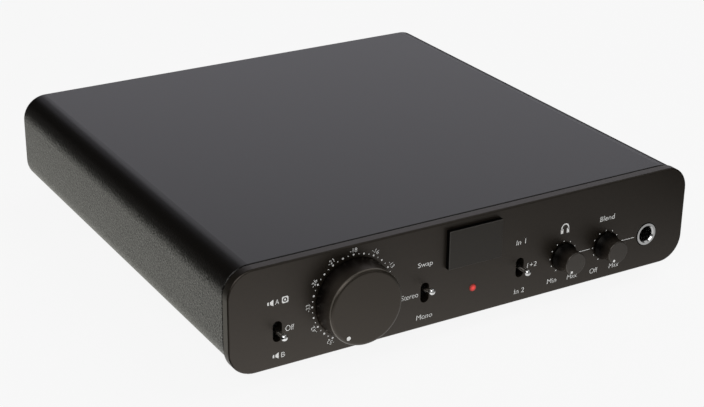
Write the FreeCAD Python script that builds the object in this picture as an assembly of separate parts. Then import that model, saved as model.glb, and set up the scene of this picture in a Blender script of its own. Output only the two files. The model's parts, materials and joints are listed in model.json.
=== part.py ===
"""Studio monitor controller: desktop box with a volume knob, level knobs, toggles and a headphone jack.

Axes: +X to the right and +Z up as seen from the front, +Y to the back.
Origin: under the middle of the whole object, on the surface it stands on. Millimetres.
"""
import FreeCAD, Part
import math
import os
from FreeCAD import Vector

# ---- Front plate ----
PLATE_W = 210.0            # width of the front plate
PLATE_H = 42.0             # height of the front plate
PLATE_T = 4.0              # thickness of the front plate
PLATE_R = 10.5             # corner radius of the plate's outline
PLATE_EDGE_R = 0.7         # rounding of its front edge

# ---- Case ----
COVER_D = 200.5            # depth of the wrapped cover
COVER_GAP = 1.0            # shadow line between front plate and cover
COVER_INSET = 0.2          # how far the cover lies inside the plate's outline
COVER_RISE = 1.5           # cover's underside above the plate's lower edge
COVER_R = 10.6             # outer bend radius of the cover's four corners
COVER_T = 1.2              # cover sheet thickness
COVER_EDGE_R = 0.4         # rounding of the cover's front and rear edges
FLANGE_W = 14.0            # width of the cover's returned flanges
TRAY_T = 1.5               # chassis tray sheet thickness
SHEET_CLEAR = 0.3          # clearance between the cover's inside and the walls in it
REAR_T = 1.5               # rear panel thickness
REAR_RECESS = 1.0          # rear panel lies this far inside the cover's rear edge
REAR_LIP_D = 12.0          # depth of the rear panel's foot along the tray
LIP_SCREW_COUNT = 4        # screws in that foot

# ---- Feet ----
FOOT_H = 10.3              # foot height, up to the tray's underside
FOOT_R = 10.0              # foot radius at its top
FOOT_TAPER = 1.0           # foot radius lost towards the floor
FOOT_EDGE_R = 1.0          # rounding of the foot's lower edge
FOOT_MARGIN = 1.5          # gap between foot and cover flange
FOOT_SETBACK = 28.0        # foot centre from the cover's front and rear edges
FOOT_RECESS_H = 5.0        # depth of the screw recess in the foot

# ---- Screws (all M3 pan head) ----
SCREW_R = 1.5
SCREW_HEAD_R = 2.75
SCREW_HEAD_H = 1.8
SCREW_HEAD_BEVEL = 0.6
SCREW_CLEAR = 0.2          # radial clearance of a screw in a through hole
SCREW_L = 4.0              # screws in the front plate and the boards
SHEET_SCREW_L = 4.0        # screws through the sheets from below
SCREW_MARGIN = 0.5         # free rim between a screw head and an edge

# ---- Layout of the controls on the front plate ----
CONTROL_ROW_H = 14.85      # row of toggles, small knobs and jack above the plate's lower edge
LED_ROW_H = 11.5           # power LED above the plate's lower edge
END_SWITCH_MARGIN = 19.7   # speaker toggle from the plate's left end
JACK_MARGIN = 19.3         # headphone jack from the plate's right end
SWITCH_OFFSET = 22.1       # inner toggles left and right of the centre line

# ---- Badge plate ----
BADGE_W = 24.4
BADGE_H = 16.0
BADGE_T = 2.2
BADGE_MARGIN = 3.2         # badge below the plate's upper edge
BADGE_SHIFT = 0.6          # badge left of the plate's centre line
BADGE_EDGE = 0.25          # bevel round the badge's face
BADGE_PIN_R = 1.0
BADGE_PIN_L = 2.5
BADGE_PIN_SPAN = 15.0

# ---- Knobs ----
VOLUME_REACH = 10.4        # volume knob's face in front of the plate
VOLUME_BASE_R = 16.0
VOLUME_FACE_R = 15.2       # radius at the face, before its rim is rounded
VOLUME_EDGE_R = 1.4
VOLUME_REST_DEG = 233.5    # pointer angle at the low stop, counter-clockwise from +X
SMALL_REACH = 8.5          # small knobs' face in front of the plate
SMALL_SKIRT_R = 5.9        # skirt next to the plate
SMALL_SKIRT_T = 0.6
SMALL_HOLLOW_L = 3.3       # hollow between the skirt and the grip
SMALL_GRIP_R = 4.8         # grip where the hollow ends
SMALL_FACE_R = 4.7         # grip at the face
SMALL_EDGE_R = 0.4
SMALL_REST_DEG = 240.0
KNOB_GAP = 0.6             # gap between a knob and the plate
KNOB_WALL = 2.0            # material between a knob's bore and its face
VOLUME_RECESS_R = 8.0      # turned recess in the back of the volume knob
VOLUME_RECESS_D = 1.5
DOT_DEPTH = 0.4            # depth of a pointer dot in the knob's face
VOLUME_DOT_R = 0.85
VOLUME_DOT_INSET = 2.1     # dot centre from the face's rim
SMALL_DOT_R = 0.55
SMALL_DOT_INSET = 0.95
SET_SCREW_L = 5.0
SET_SCREW_DEG = 85.0       # set screw, counted on from the pointer

# ---- Potentiometers ----
SHAFT_R = 3.0
SHAFT_FLAT = 0.6           # depth of the flat that drives the knob
RUN_CLEAR = 0.05           # radial running clearance of shafts and pivots
BUSH_WALL = 0.5
BUSH_SETBACK = 1.2         # bush ends this far behind the plate's front face
BUSH_CLEAR = 0.4           # radial clearance of a bush in the plate
ROTOR_T = 1.5
ROTOR_CLEAR = 0.3
POT_WALL = 2.0
VOLUME_POT_R = 9.5
SMALL_POT_W = 11.0
SMALL_POT_H = 12.0

# ---- Toggle switches ----
SLOT_W = 3.8
SLOT_H = 8.4
SWITCH_W = 7.0
SWITCH_H = 12.7
SWITCH_GAP = 0.5           # switch body behind the plate's back
PIVOT_DEPTH = 1.5          # lever pivot behind the switch body's front
PIVOT_PIN_R = 0.5
BALL_R = 1.6
LEVER_REACH = 5.1          # centre of the lever's tip in front of the plate
LEVER_TIP_R = 1.4          # ball at the tip
LEVER_ROOT_R = 1.55        # lever at its pivot
LEVER_NECK_R = 0.75        # lever where it meets the ball
LEVER_TAIL_L = 3.6
LEVER_TAIL_R = 0.8
LEVER_CLEAR = 0.3
LEVER_TILT = 13.5          # lever angle at either end position

# ---- LED and headphone jack ----
LED_R = 1.5
LED_REACH = 0.4
LED_CLEAR = 0.1
LED_FLANGE_R = 2.3
LED_FLANGE_T = 1.0
JACK_BORE_R = 3.25         # takes a 6.35 mm plug
RING_R = 4.7
RING_REACH = 0.3
RING_MOUTH_R = 3.75
RING_THROAT = 0.3          # throat behind the plate's face
RING_CLEAR = 0.35
RING_SEAT = 2.0            # ring's length inside the jack body
PHONES_JACK_W = 15.0
PHONES_JACK_D = 28.0
JACK_END_WALL = 2.0

# ---- Boards ----
BOARD_T = 1.6
FRONT_BOARD_GAP = 9.0      # front board behind the plate's back
FRONT_BOARD_H = 29.0
FRONT_BOARD_LIFT = 1.3     # front board above the tray floor
FRONT_BOARD_MARGIN = 11.0  # front board's left end from the plate's end
SPACER_R = 2.5
SPACER_SPIGOT_R = 2.0
SPACER_DROP = 3.9          # spacer centres from the front board's upper and lower edges
STANDOFF_H = 6.0
STANDOFF_R = 3.0
STANDOFF_INSET = 5.0       # standoff centres from the main board's sides
BOARD_SPACE = 2.5          # main board behind the front board
BOARD_CLEAR = 1.5          # clearance of the main board round the headphone jack
LINK_W = 40.0
LINK_D = 9.0
LINK_H = 8.5

# ---- Rear connectors ----
SIDE_MARGIN = 9.0          # connectors and main board from the plate's ends
REAR_JACK_W = 15.0
REAR_JACK_H = 14.0
REAR_JACK_D = 27.0
REAR_BUSH_R = 5.5
REAR_BUSH_REACH = 4.0
REAR_HOLE_CLEAR = 0.2
REAR_NUT_AF = 14.0
REAR_NUT_T = 2.2
PLUG_DEPTH = 30.0
PHONO_BLOCK_W = 28.0
PHONO_BLOCK_D = 10.0
PHONO_PITCH = 14.0
PHONO_REACH = 9.0
PHONO_COLLAR_R = 5.2
PHONO_COLLAR_T = 1.0
PHONO_SHELL_R = 4.15
PHONO_CORE_R = 3.4
PHONO_CORE_SETBACK = 0.6
PHONO_HOLE_R = 1.65
PHONO_HOLE_D = 8.5
INLET_W = 10.0
INLET_H = 11.0
INLET_D = 14.0
INLET_BUSH_R = 4.6
INLET_REACH = 0.5
INLET_BORE_R = 2.9
INLET_BORE_D = 9.5
INLET_PIN_R = 1.0
INLET_PIN_L = 8.5

# ---- Rear rocker switch ----
ROCKER_BEZEL_W = 21.0
ROCKER_BEZEL_H = 15.8
ROCKER_BEZEL_T = 1.5
ROCKER_BODY_D = 14.0
ROCKER_WALL = 1.4
ROCKER_L = 16.4            # rocker's length
ROCKER_W = 10.4            # rocker's width
ROCKER_CLEAR = 0.35
ROCKER_PIVOT_IN = 2.2      # pivot behind the panel's outer face
ROCKER_CREST = 3.4         # rocker's surface at its middle, from the pivot
ROCKER_DEPTH = 2.0         # rocker's body behind the pivot
ROCKER_TILT = 8.0
TRUNNION_R = 1.0
TRUNNION_L = 0.9

# ---- Parts on the main board ----
RELAY_SIZE = (7.5, 15.0, 10.0)
RELAY_COUNT = 4
RELAY_PITCH = 14.0
CHIP_SIZE = (9.5, 6.4, 3.6)
CHIP_ROWS = 2
CHIP_COLUMNS = 4
CHIP_PITCH = 20.0
CHIP_SHIFT = 10.0          # right end of the op-amps, left of the centre line
CAPACITOR_R = 7.0
CAPACITOR_H = 20.0
CAPACITOR_PITCH = 18.0
CAPACITOR_COUNT = 4
REGULATOR_SIZE = (10.0, 4.5, 15.0)
REGULATOR_PITCH = 16.0
SINK_L = 36.0
SINK_BASE_T = 2.5
SINK_FIN_T = 1.2
SINK_FIN_D = 8.0
SINK_FIN_COUNT = 7
SINK_H = 20.0
PART_GAP = 6.0             # free strip between groups of parts on the board

TOUCH = 1e-6               # edges nearer to a plane than this lie in it
PARALLEL = 0.5             # least share of Y in the direction of an edge that runs along Y
HEX_SIDES = 6

# ---- Heights worked out from the sizes above ----
TRAY_Z = FOOT_H
FLOOR_Z = TRAY_Z + TRAY_T
COVER_Z = TRAY_Z - COVER_T
PLATE_Z = COVER_Z - COVER_RISE
PLATE_TOP_Z = PLATE_Z + PLATE_H
COVER_TOP_Z = PLATE_TOP_Z - COVER_INSET
CONTROL_Z = PLATE_Z + CONTROL_ROW_H
VOLUME_Z = PLATE_Z + PLATE_H / 2
LED_Z = PLATE_Z + LED_ROW_H
FRONT_BOARD_Z = FLOOR_Z + FRONT_BOARD_LIFT
MAIN_BOARD_Z = FLOOR_Z + STANDOFF_H
MAIN_TOP_Z = MAIN_BOARD_Z + BOARD_T
REAR_ROW_Z = MAIN_TOP_Z + REAR_JACK_H / 2

# ---- Places from front to back ----
OVERALL_D = VOLUME_REACH + PLATE_T + COVER_GAP + COVER_D - REAR_RECESS + PHONO_REACH
FACE_Y = VOLUME_REACH - OVERALL_D / 2
BACK_Y = FACE_Y + PLATE_T
WALL_Y = BACK_Y + TRAY_T
FRONT_BOARD_Y = BACK_Y + FRONT_BOARD_GAP
LINK_Y = FRONT_BOARD_Y + BOARD_T
MAIN_BOARD_Y = LINK_Y + BOARD_SPACE
COVER_Y = BACK_Y + COVER_GAP
COVER_REAR_Y = COVER_Y + COVER_D
PANEL_OUT_Y = COVER_REAR_Y - REAR_RECESS
PANEL_IN_Y = PANEL_OUT_Y - REAR_T
MAIN_REAR_Y = PANEL_IN_Y - SHEET_CLEAR
PIVOT_Y = BACK_Y + SWITCH_GAP + PIVOT_DEPTH
PHONES_JACK_END_Y = WALL_Y + PHONES_JACK_D
JACK_FRONT_Y = PANEL_IN_Y - REAR_JACK_D

# ---- Places from left to right ----
COVER_HALF_W = PLATE_W / 2 - COVER_INSET
FLAT_HALF_W = COVER_HALF_W - COVER_R             # where the cover's lower bend ends
FLANGE_HALF_W = FLAT_HALF_W - FLANGE_W           # inner edge of the flanges
MAIN_HALF_W = PLATE_W / 2 - SIDE_MARGIN
SPEAKER_X = END_SWITCH_MARGIN - PLATE_W / 2
MODE_X = -SWITCH_OFFSET
SOURCE_X = SWITCH_OFFSET
VOLUME_X = (SPEAKER_X + MODE_X) / 2
PHONES_JACK_X = PLATE_W / 2 - JACK_MARGIN
RIGHT_PITCH = (PHONES_JACK_X - SOURCE_X) / 3
PHONES_X = SOURCE_X + RIGHT_PITCH
CROSSFEED_X = PHONES_X + RIGHT_PITCH
FRONT_BOARD_X0 = FRONT_BOARD_MARGIN - PLATE_W / 2
FRONT_BOARD_X1 = PHONES_JACK_X - PHONES_JACK_W / 2 - BOARD_CLEAR
BUSH_R = SHAFT_R + BUSH_WALL
SWITCH_XS = (SPEAKER_X, MODE_X, SOURCE_X)
REAR_JACK_NAMES = (
    "line_1_right", "line_1_left", "speaker_b_right", "speaker_b_left",
    "speaker_a_right", "speaker_a_left", "sub",
)


# ---- Basic shapes ----
def box(x0, x1, y0, y1, z0, z1):
    return Part.makeBox(x1 - x0, y1 - y0, z1 - z0, Vector(x0, y0, z0))


def rod_x(y, z, x0, x1, r):
    return Part.makeCylinder(r, x1 - x0, Vector(x0, y, z), Vector(1, 0, 0))


def rod_y(x, z, y0, y1, r):
    return Part.makeCylinder(r, y1 - y0, Vector(x, y0, z), Vector(0, 1, 0))


def rod_z(x, y, z0, z1, r):
    return Part.makeCylinder(r, z1 - z0, Vector(x, y, z0), Vector(0, 0, 1))


def fuse(first, *others):
    return first.fuse(list(others)).removeSplitter()


def cut(shape, *tools):
    return shape.cut(list(tools))


def rounded_plate(half_w, z0, z1, r, y0, y1):
    """Rounded rectangle in XZ, from y0 to y1."""
    block = box(-half_w, half_w, y0, y1, z0, z1)
    corners = [e for e in block.Edges if abs(e.tangentAt(e.FirstParameter).y) > PARALLEL]
    return block.makeFillet(r, corners)


def slot_hole(x, z, width, height, y0, y1):
    """Upright slot with round ends, through the plate along Y."""
    r = width / 2
    reach = height / 2 - r
    middle = box(x - r, x + r, y0, y1, z - reach, z + reach)
    return fuse(middle, rod_y(x, z - reach, y0, y1, r), rod_y(x, z + reach, y0, y1, r))


def revolved(outline):
    """Solid of revolution about the Y axis from a closed wire in the XY plane."""
    return Part.Face(outline).revolve(Vector(0, 0, 0), Vector(0, 1, 0), 360)


def turned(points):
    """Solid of revolution about the Y axis from (y, r) points."""
    return revolved(Part.makePolygon([Vector(r, y, 0) for y, r in points + points[:1]]))


def hexagon(x, z, y0, y1, across_flats):
    """Hexagonal bar along Y."""
    step = 2 * math.pi / HEX_SIDES
    r = across_flats / 2 / math.cos(step / 2)
    corners = [Vector(x + r * math.cos(i * step), y0, z + r * math.sin(i * step)) for i in range(HEX_SIDES)]
    return Part.Face(Part.makePolygon(corners + corners[:1])).extrude(Vector(0, y1 - y0, 0))


def pan_screw(length):
    """Screw along +Z with the underside of its head at the origin."""
    head = Part.makeCylinder(SCREW_HEAD_R, SCREW_HEAD_H, Vector(0, 0, -SCREW_HEAD_H))
    rim = [e for e in head.Edges if abs(e.BoundBox.ZMax + SCREW_HEAD_H) < TOUCH]
    return fuse(head.makeChamfer(SCREW_HEAD_BEVEL, rim[:1]), Part.makeCylinder(SCREW_R, length))


def screw_up(x, y, z):
    """Screw put in from below; z is the face under its head."""
    screw = pan_screw(SHEET_SCREW_L)
    screw.translate(Vector(x, y, z))
    return screw


def screw_down(x, y, z):
    """Screw put in from above; z is the face under its head."""
    screw = pan_screw(SCREW_L)
    screw.rotate(Vector(0, 0, 0), Vector(1, 0, 0), 180)
    screw.translate(Vector(x, y, z))
    return screw


def screw_forward(x, y, z):
    """Screw put in from behind, pointing to the front; y is the face under its head."""
    screw = pan_screw(SCREW_L)
    screw.rotate(Vector(0, 0, 0), Vector(1, 0, 0), 90)
    screw.translate(Vector(x, y, z))
    return screw


# ---- Shared places ----
def plate_screw_places():
    """(x, z) of the screws that hold the front plate to the tray's front wall."""
    side_x = PLATE_W / 2 - PLATE_R + SCREW_HEAD_R
    low_z = PLATE_Z + PLATE_R + 2 * SCREW_HEAD_R
    high_z = PLATE_TOP_Z - PLATE_R - SCREW_HEAD_R / 2
    inner_x = (SOURCE_X + PHONES_X) / 2
    row_low = FLOOR_Z + TRAY_T + SCREW_HEAD_R + SCREW_MARGIN
    row_high = COVER_TOP_Z - COVER_T - SHEET_CLEAR - SCREW_HEAD_R - SCREW_MARGIN
    corners = [(sx * side_x, z) for sx in (-1, 1) for z in (low_z, high_z)]
    middle = [(sx * inner_x, z) for sx in (-1, 1) for z in (row_low, row_high)]
    return corners + middle


def spacer_places():
    """(x, z) of the spacers that carry the front board."""
    left = (SPEAKER_X + SWITCH_W / 2 + VOLUME_X - VOLUME_POT_R) / 2
    right = (PHONES_X + CROSSFEED_X) / 2
    low = FRONT_BOARD_Z + SPACER_DROP
    high = FRONT_BOARD_Z + FRONT_BOARD_H - SPACER_DROP
    return [(x, z) for x in (left, right) for z in (low, high)]


def standoff_places():
    """(x, y) of the standoffs that carry the main board."""
    front = PHONES_JACK_END_Y + BOARD_CLEAR + 2 * STANDOFF_R
    rear = JACK_FRONT_Y - 2 * STANDOFF_R
    side = MAIN_HALF_W - STANDOFF_INSET
    return [(sx * side, y) for sx in (-1, 1) for y in (front, (front + rear) / 2, rear)]


def foot_places():
    """Name and (x, y) of each foot."""
    x = FLANGE_HALF_W - FOOT_R - FOOT_MARGIN
    front = COVER_Y + FOOT_SETBACK
    rear = COVER_REAR_Y - FOOT_SETBACK
    return {"foot_front_left": (-x, front), "foot_front_right": (x, front),
            "foot_rear_left": (-x, rear), "foot_rear_right": (x, rear)}


def flange_screw_places():
    """(x, y) of the cover screws in the returned flanges."""
    x = FLAT_HALF_W - FLANGE_W / 2
    front = COVER_Y + FLANGE_W
    rear = COVER_REAR_Y - FLANGE_W - REAR_LIP_D
    return [(sx * x, y) for sx in (-1, 1) for y in (front, (front + rear) / 2, rear)]


def lip_screw_places():
    """(x, y) of the screws in the rear panel's foot."""
    y = PANEL_IN_Y - REAR_LIP_D / 2
    end_x = FLANGE_HALF_W - SCREW_HEAD_R - FOOT_MARGIN
    pitch = 2 * end_x / (LIP_SCREW_COUNT - 1)
    return [(i * pitch - end_x, y) for i in range(LIP_SCREW_COUNT)]


def rear_places():
    """X of the inlet, rocker switch, phono pair and balanced jacks, evenly spaced from +X to -X."""
    widths = [INLET_W, ROCKER_BEZEL_W, PHONO_BLOCK_W] + [REAR_JACK_W] * len(REAR_JACK_NAMES)
    gap = (2 * MAIN_HALF_W - sum(widths)) / (len(widths) - 1)
    places = []
    edge = MAIN_HALF_W
    for width in widths:
        places.append(edge - width / 2)
        edge -= width + gap
    return places


INLET_X, ROCKER_X, PHONO_X = rear_places()[:3]
REAR_JACK_XS = rear_places()[3:]
PHONO_XS = (PHONO_X - PHONO_PITCH / 2, PHONO_X + PHONO_PITCH / 2)


# ---- Case ----
def front_panel():
    plate = rounded_plate(PLATE_W / 2, PLATE_Z, PLATE_TOP_Z, PLATE_R, FACE_Y, BACK_Y)
    rim = [e for e in plate.Edges if e.BoundBox.YMax < FACE_Y + TOUCH]
    plate = plate.makeFillet(PLATE_EDGE_R, rim)
    holes = [slot_hole(x, CONTROL_Z, SLOT_W, SLOT_H, FACE_Y, BACK_Y) for x in SWITCH_XS]
    for x, z in ((VOLUME_X, VOLUME_Z), (PHONES_X, CONTROL_Z), (CROSSFEED_X, CONTROL_Z)):
        holes.append(rod_y(x, z, FACE_Y, BACK_Y, BUSH_R + BUSH_CLEAR))
    holes.append(rod_y(0, LED_Z, FACE_Y, BACK_Y, LED_R + LED_CLEAR))
    holes.append(rod_y(PHONES_JACK_X, CONTROL_Z, FACE_Y, BACK_Y, RING_R + RING_CLEAR))
    for x, z in plate_screw_places():
        holes.append(rod_y(x, z, BACK_Y - SCREW_L + TRAY_T, BACK_Y, SCREW_R))
    return cut(plate, *holes, *badge_pins())


def badge_z():
    return PLATE_TOP_Z - BADGE_MARGIN - BADGE_H / 2


def badge_pins():
    """Pins behind the badge, side by side."""
    centres = [side * BADGE_PIN_SPAN / 2 - BADGE_SHIFT for side in (-1, 1)]
    return [rod_y(x, badge_z(), FACE_Y, FACE_Y + BADGE_PIN_L, BADGE_PIN_R) for x in centres]


def badge_plate():
    """Bare raised plate, held by two pins in the front plate."""
    left = -BADGE_SHIFT - BADGE_W / 2
    low = badge_z() - BADGE_H / 2
    plate = box(left, left + BADGE_W, FACE_Y - BADGE_T, FACE_Y, low, low + BADGE_H)
    rim = [e for e in plate.Edges if e.BoundBox.YMax < FACE_Y - BADGE_T + TOUCH]
    return fuse(plate.makeChamfer(BADGE_EDGE, rim), *badge_pins())


def inside_of_cover(clear, y0, y1):
    """The cover's inner outline, smaller by a clearance, from y0 to y1."""
    shrink = COVER_T + clear
    return rounded_plate(COVER_HALF_W - shrink, COVER_Z + shrink, COVER_TOP_Z - shrink,
                         COVER_R - shrink, y0, y1)


def case_cover():
    """One sheet bent round the case, with its two edges returned under it."""
    outside = rounded_plate(COVER_HALF_W, COVER_Z, COVER_TOP_Z, COVER_R, COVER_Y, COVER_REAR_Y)
    rims = [e for e in outside.Edges if e.BoundBox.YLength < TOUCH]
    outside = outside.makeFillet(COVER_EDGE_R, rims)
    opening = box(-FLANGE_HALF_W, FLANGE_HALF_W, COVER_Y, COVER_REAR_Y, COVER_Z, TRAY_Z)
    holes = [rod_z(x, y, COVER_Z, TRAY_Z, SCREW_R + SCREW_CLEAR) for x, y in flange_screw_places()]
    return cut(outside, inside_of_cover(0, COVER_Y, COVER_REAR_Y), opening, *holes)


def chassis_tray():
    """Floor sheet with a front wall bent up behind the front plate."""
    half_w = FLAT_HALF_W - SHEET_CLEAR
    floor = box(-half_w, half_w, BACK_Y, PANEL_IN_Y - SHEET_CLEAR, TRAY_Z, FLOOR_Z)
    wall = inside_of_cover(SHEET_CLEAR, BACK_Y, WALL_Y)
    bend = box(-half_w, half_w, WALL_Y, WALL_Y + TRAY_T, FLOOR_Z, FLOOR_Z + TRAY_T)
    bend = cut(bend, rod_x(WALL_Y + TRAY_T, FLOOR_Z + TRAY_T, -half_w, half_w, TRAY_T))
    tray = fuse(floor, wall, bend)
    holes = []
    for x in SWITCH_XS:
        half_x = SWITCH_W / 2 + SWITCH_GAP
        half_z = SWITCH_H / 2 + SWITCH_GAP
        holes.append(box(x - half_x, x + half_x, BACK_Y, WALL_Y, CONTROL_Z - half_z, CONTROL_Z + half_z))
    for x, z in ((VOLUME_X, VOLUME_Z), (PHONES_X, CONTROL_Z), (CROSSFEED_X, CONTROL_Z)):
        holes.append(rod_y(x, z, BACK_Y, WALL_Y, BUSH_R + BUSH_CLEAR))
    holes.append(rod_y(0, LED_Z, BACK_Y, WALL_Y, LED_R + LED_CLEAR))
    holes.append(rod_y(PHONES_JACK_X, CONTROL_Z, BACK_Y, WALL_Y, RING_R + RING_CLEAR))
    holes += [rod_y(x, z, BACK_Y, WALL_Y, SCREW_R) for x, z in plate_screw_places()]
    holes += [rod_y(x, z, BACK_Y, WALL_Y, SPACER_SPIGOT_R) for x, z in spacer_places()]
    below = flange_screw_places() + lip_screw_places() + list(foot_places().values())
    holes += [rod_z(x, y, TRAY_Z, FLOOR_Z, SCREW_R) for x, y in below]
    return cut(tray, *holes)


def rear_panel():
    """Connector panel with a foot bent forward along the tray."""
    half_w = FLAT_HALF_W - SHEET_CLEAR
    panel = inside_of_cover(SHEET_CLEAR, PANEL_IN_Y, PANEL_OUT_Y)
    lip = box(-half_w, half_w, PANEL_IN_Y - REAR_LIP_D, PANEL_IN_Y, FLOOR_Z, FLOOR_Z + REAR_T)
    holes = [rod_y(x, REAR_ROW_Z, PANEL_IN_Y, PANEL_OUT_Y, REAR_BUSH_R + REAR_HOLE_CLEAR)
             for x in REAR_JACK_XS]
    holes += [rod_y(x, REAR_ROW_Z, PANEL_IN_Y, PANEL_OUT_Y, PHONO_COLLAR_R + REAR_HOLE_CLEAR)
              for x in PHONO_XS]
    holes.append(rod_y(INLET_X, inlet_z(), PANEL_IN_Y, PANEL_OUT_Y, INLET_BUSH_R + REAR_HOLE_CLEAR))
    half_x = rocker_body_half_x() + REAR_HOLE_CLEAR
    half_z = rocker_body_half_z() + REAR_HOLE_CLEAR
    holes.append(box(ROCKER_X - half_x, ROCKER_X + half_x, PANEL_IN_Y, PANEL_OUT_Y,
                     REAR_ROW_Z - half_z, REAR_ROW_Z + half_z))
    holes += [rod_z(x, y, FLOOR_Z, FLOOR_Z + REAR_T, SCREW_R) for x, y in lip_screw_places()]
    return cut(fuse(panel, lip), *holes)


def foot(x, y):
    """Tapered rubber foot with a recess for its screw."""
    body = Part.makeCone(FOOT_R - FOOT_TAPER, FOOT_R, FOOT_H, Vector(x, y, 0))
    rim = [e for e in body.Edges if e.BoundBox.ZMax < TOUCH]
    body = body.makeFillet(FOOT_EDGE_R, rim[:1])
    recess = rod_z(x, y, 0, FOOT_RECESS_H, SCREW_HEAD_R + SCREW_CLEAR)
    return cut(body, recess, rod_z(x, y, FOOT_RECESS_H, FOOT_H, SCREW_R))


def foot_screw(x, y):
    screw = pan_screw(FLOOR_Z - FOOT_RECESS_H)
    screw.translate(Vector(x, y, FOOT_RECESS_H))
    return screw


def underside_screws():
    cover = [screw_up(x, y, COVER_Z) for x, y in flange_screw_places()]
    return cover + [foot_screw(x, y) for x, y in foot_places().values()]


def panel_screws():
    front = [screw_forward(x, WALL_Y, z) for x, z in plate_screw_places()]
    return front + [screw_up(x, y, TRAY_Z) for x, y in lip_screw_places()]


# ---- Knobs and potentiometers ----
def on_axis(shape, x, z, turn=0.0):
    """Turn a shape made about the Y axis by an angle and put it on a control's axis at the plate's face."""
    shape.rotate(Vector(0, 0, 0), Vector(0, -1, 0), turn)
    shape.translate(Vector(x, FACE_Y, z))
    return shape


def shaft_section(y0, y1):
    """Round shaft with a drive flat; the flat's normal points to +X at zero turn."""
    return cut(rod_y(0, 0, y0, y1, SHAFT_R),
               box(SHAFT_R - SHAFT_FLAT, SHAFT_R, y0, y1, -SHAFT_R, SHAFT_R))


def bored_knob(body, reach, edge_r):
    """Round the rim of a turned knob's face and bore it for the shaft."""
    rim = [e for e in body.Edges if e.BoundBox.YMax < -reach + TOUCH]
    return cut(body.makeFillet(edge_r, rim[:1]), shaft_section(KNOB_WALL - reach, 0))


def dot(reach, face_r, inset, r, turn):
    """Pointer dot let into a knob's face; turn places it relative to the shaft's flat."""
    bar = rod_y(face_r - inset, 0, -reach, DOT_DEPTH - reach, r)
    bar.rotate(Vector(0, 0, 0), Vector(0, -1, 0), turn)
    return bar


def volume_dot():
    return dot(VOLUME_REACH, VOLUME_FACE_R, VOLUME_DOT_INSET, VOLUME_DOT_R, -SET_SCREW_DEG)


def small_dot():
    return dot(SMALL_REACH, SMALL_FACE_R, SMALL_DOT_INSET, SMALL_DOT_R, 0)


def set_screw_hole_y():
    return -(VOLUME_REACH - KNOB_WALL + KNOB_GAP + VOLUME_RECESS_D) / 2


def volume_knob():
    """Large knob with a recess behind, a dot in its face and a set screw hole to the shaft's flat."""
    recess = rod_y(0, 0, -KNOB_GAP - VOLUME_RECESS_D, 0, VOLUME_RECESS_R)
    hole = rod_x(set_screw_hole_y(), 0, SHAFT_R - SHAFT_FLAT, VOLUME_BASE_R, SCREW_R)
    body = turned([(-VOLUME_REACH, 0), (-VOLUME_REACH, VOLUME_FACE_R),
                   (-KNOB_GAP, VOLUME_BASE_R), (-KNOB_GAP, 0)])
    body = bored_knob(body, VOLUME_REACH, VOLUME_EDGE_R)
    return on_axis(cut(body, recess, hole, volume_dot()), VOLUME_X, VOLUME_Z, volume_turn())


def volume_turn():
    return VOLUME_REST_DEG + SET_SCREW_DEG


def volume_set_screw():
    inner = SHAFT_R - SHAFT_FLAT
    screw = rod_x(set_screw_hole_y(), 0, inner, inner + SET_SCREW_L, SCREW_R)
    return on_axis(screw, VOLUME_X, VOLUME_Z, volume_turn())


def small_knob_outline():
    """Half section of a small knob: face, grip, hollow sweeping out to the skirt, back."""
    skirt_y = -KNOB_GAP - SMALL_SKIRT_T
    grip_y = skirt_y - SMALL_HOLLOW_L
    rise = SMALL_SKIRT_R - SMALL_GRIP_R
    sweep_r = (SMALL_HOLLOW_L ** 2 + rise ** 2) / (2 * rise)
    half = math.asin(SMALL_HOLLOW_L / sweep_r) / 2
    grip = Vector(SMALL_GRIP_R, grip_y, 0)
    middle = grip + Vector(sweep_r * (1 - math.cos(half)), sweep_r * math.sin(half), 0)
    skirt = Vector(SMALL_SKIRT_R, skirt_y, 0)
    face = Part.makePolygon([Vector(0, -SMALL_REACH, 0), Vector(SMALL_FACE_R, -SMALL_REACH, 0), grip])
    back = Part.makePolygon([skirt, Vector(SMALL_SKIRT_R, -KNOB_GAP, 0), Vector(0, -KNOB_GAP, 0),
                             Vector(0, -SMALL_REACH, 0)])
    return Part.Wire(face.Edges + [Part.Arc(grip, middle, skirt).toShape()] + back.Edges)


def small_knob(x):
    body = bored_knob(revolved(small_knob_outline()), SMALL_REACH, SMALL_EDGE_R)
    return on_axis(cut(body, small_dot()), x, CONTROL_Z, SMALL_REST_DEG)


def pot_front():
    """Front of the potentiometer bodies behind the plate's face."""
    return PLATE_T + TRAY_T + ROTOR_CLEAR


def pot_depth():
    """Front board behind the plate's face."""
    return PLATE_T + FRONT_BOARD_GAP


def pot_shaft(reach, rotor_r):
    """Shaft with its rotor disc; the knob end carries the flat."""
    rotor_y = pot_front() + POT_WALL + ROTOR_CLEAR
    knob_end = shaft_section(KNOB_WALL - reach, 0)
    body = rod_y(0, 0, 0, rotor_y + ROTOR_T, SHAFT_R)
    return fuse(knob_end, body, rod_y(0, 0, rotor_y, rotor_y + ROTOR_T, rotor_r))


def pot_inside(rotor_r):
    """Running bore and rotor chamber to cut out of a potentiometer."""
    front = pot_front() + POT_WALL
    chamber = rod_y(0, 0, front, front + ROTOR_T + 2 * ROTOR_CLEAR, rotor_r + ROTOR_CLEAR)
    return fuse(rod_y(0, 0, BUSH_SETBACK, front, SHAFT_R + RUN_CLEAR), chamber)


def pot(body, rotor_r, x, z):
    bush = rod_y(0, 0, BUSH_SETBACK, pot_front(), BUSH_R)
    return on_axis(cut(fuse(body, bush), pot_inside(rotor_r)), x, z)


def volume_rotor_r():
    return VOLUME_POT_R - POT_WALL


def small_rotor_r():
    return (SMALL_POT_W - POT_WALL) / 2


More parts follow.
